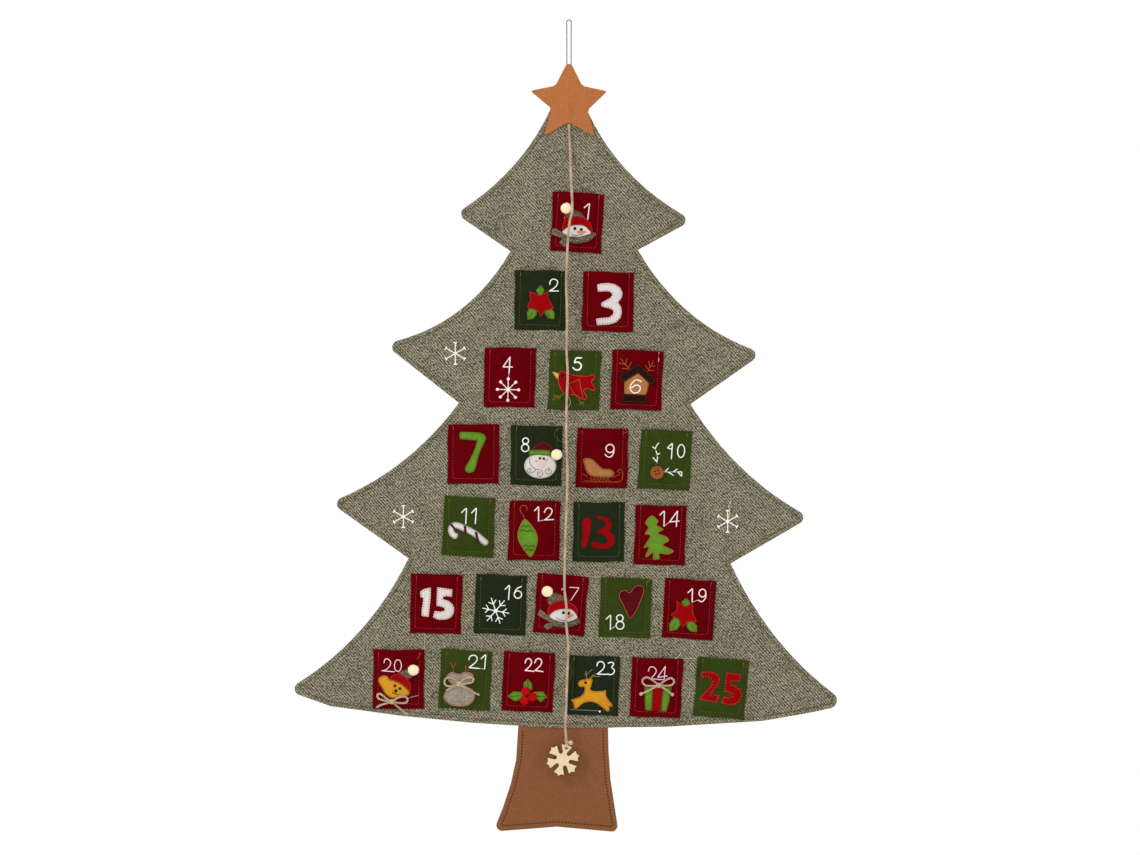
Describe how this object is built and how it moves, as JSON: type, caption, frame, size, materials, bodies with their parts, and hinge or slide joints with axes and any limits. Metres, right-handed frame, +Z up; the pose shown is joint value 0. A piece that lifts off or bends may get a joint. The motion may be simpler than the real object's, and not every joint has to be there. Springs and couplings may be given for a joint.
{
  "type": "fabric advent calendar",
  "caption": "Tree-shaped linen wall hanging with numbered felt pockets for small gifts, a hanging loop, and a wooden snowflake marker on a long twine.",
  "frame": {"origin": "inside top of the hanging loop, in the plane between the two linen layers", "axes": "+Z up the wall, +X to the right seen from the front, -Y out of the wall towards the viewer"},
  "size_m": [0.651, 0.0224, 0.9753],
  "materials": {
    "linen_front": "heavy twill linen, matt",
    "linen_back": "plain linen backing, matt",
    "interlining": "needled interlining, matt",
    "felt_crimson": "wool felt, matt",
    "felt_dark_green": "wool felt, matt",
    "felt_olive": "wool felt, matt",
    "felt_leaf_green": "wool felt, matt",
    "felt_red": "wool felt, matt",
    "felt_white": "wool felt, matt",
    "felt_golden": "wool felt, matt",
    "felt_tan": "wool felt, matt",
    "felt_brown": "wool felt, matt",
    "felt_burgundy": "wool felt, matt",
    "felt_star": "wool felt, matt",
    "felt_trunk": "wool felt, matt",
    "sack_linen": "loose linen, matt",
    "cord": "twisted cord, matt",
    "twine": "jute twine, matt",
    "pompom": "clipped yarn, matt",
    "button": "moulded, satin",
    "plywood": "laser-cut birch ply, bare"
  },
  "bodies": {
    "calendar": {"front_panel": "linen_front", "back_panel": "linen_back", "interlining": "interlining", "hanging_loop": "cord", "trunk_front": "felt_trunk", "trunk_back": "felt_trunk", "star": "felt_star", "pocket_1": "felt_crimson", "pocket_2": "felt_dark_green", "pocket_3": "felt_crimson", "pocket_4": "felt_crimson", "pocket_5": "felt_olive", "pocket_6": "felt_crimson", "pocket_7": "felt_crimson", "pocket_8": "felt_dark_green", "pocket_9": "felt_crimson", "pocket_10": "felt_olive", "pocket_11": "felt_olive", "pocket_12": "felt_crimson", "pocket_13": "felt_dark_green", "pocket_14": "felt_crimson", "pocket_15": "felt_crimson", "pocket_16": "felt_dark_green", "pocket_17": "felt_crimson", "pocket_18": "felt_olive", "pocket_19": "felt_crimson", "pocket_20": "felt_crimson", "pocket_21": "felt_olive", "pocket_22": "felt_crimson", "pocket_23": "felt_dark_green", "pocket_24": "felt_crimson", "pocket_25": "felt_olive", "snowman_1": "felt_red", "pompom_1": "pompom", "poinsettia_2": "felt_red", "bird_5": "felt_red", "birdhouse_6": "felt_brown", "gnome_8": "felt_white", "pompom_8": "pompom", "sleigh_9": "felt_tan", "button_10": "button", "candy_cane_11": "felt_white", "bauble_12": "felt_leaf_green", "fir_tree_14": "felt_leaf_green", "snowman_17": "felt_red", "pompom_17": "pompom", "heart_18": "felt_burgundy", "poinsettia_19": "felt_red", "teddy_20": "felt_golden", "pompom_20": "pompom", "bow_20": "twine", "sack_21": "sack_linen", "bow_21": "twine", "holly_22": "felt_leaf_green", "reindeer_23": "felt_golden", "gift_24": "felt_leaf_green", "bow_24": "twine"},
    "marker": {"marker_twine": "twine", "marker_knot": "twine"},
    "snowflake": {"marker_snowflake": "plywood"}
  },
  "joints": [
    {"name": "marker_lift", "type": "hinge", "parent": "calendar", "child": "marker", "pos_m": [-0.0002, -0.0044, -0.125], "axis": [-1, 0, 0], "range_deg": [0, 30]},
    {"name": "snowflake_swing", "type": "hinge", "parent": "marker", "child": "snowflake", "pos_m": [-0.0034, -0.0132, -0.872], "axis": [0, 1, 0], "range_deg": [-45, 45]}
  ]
}
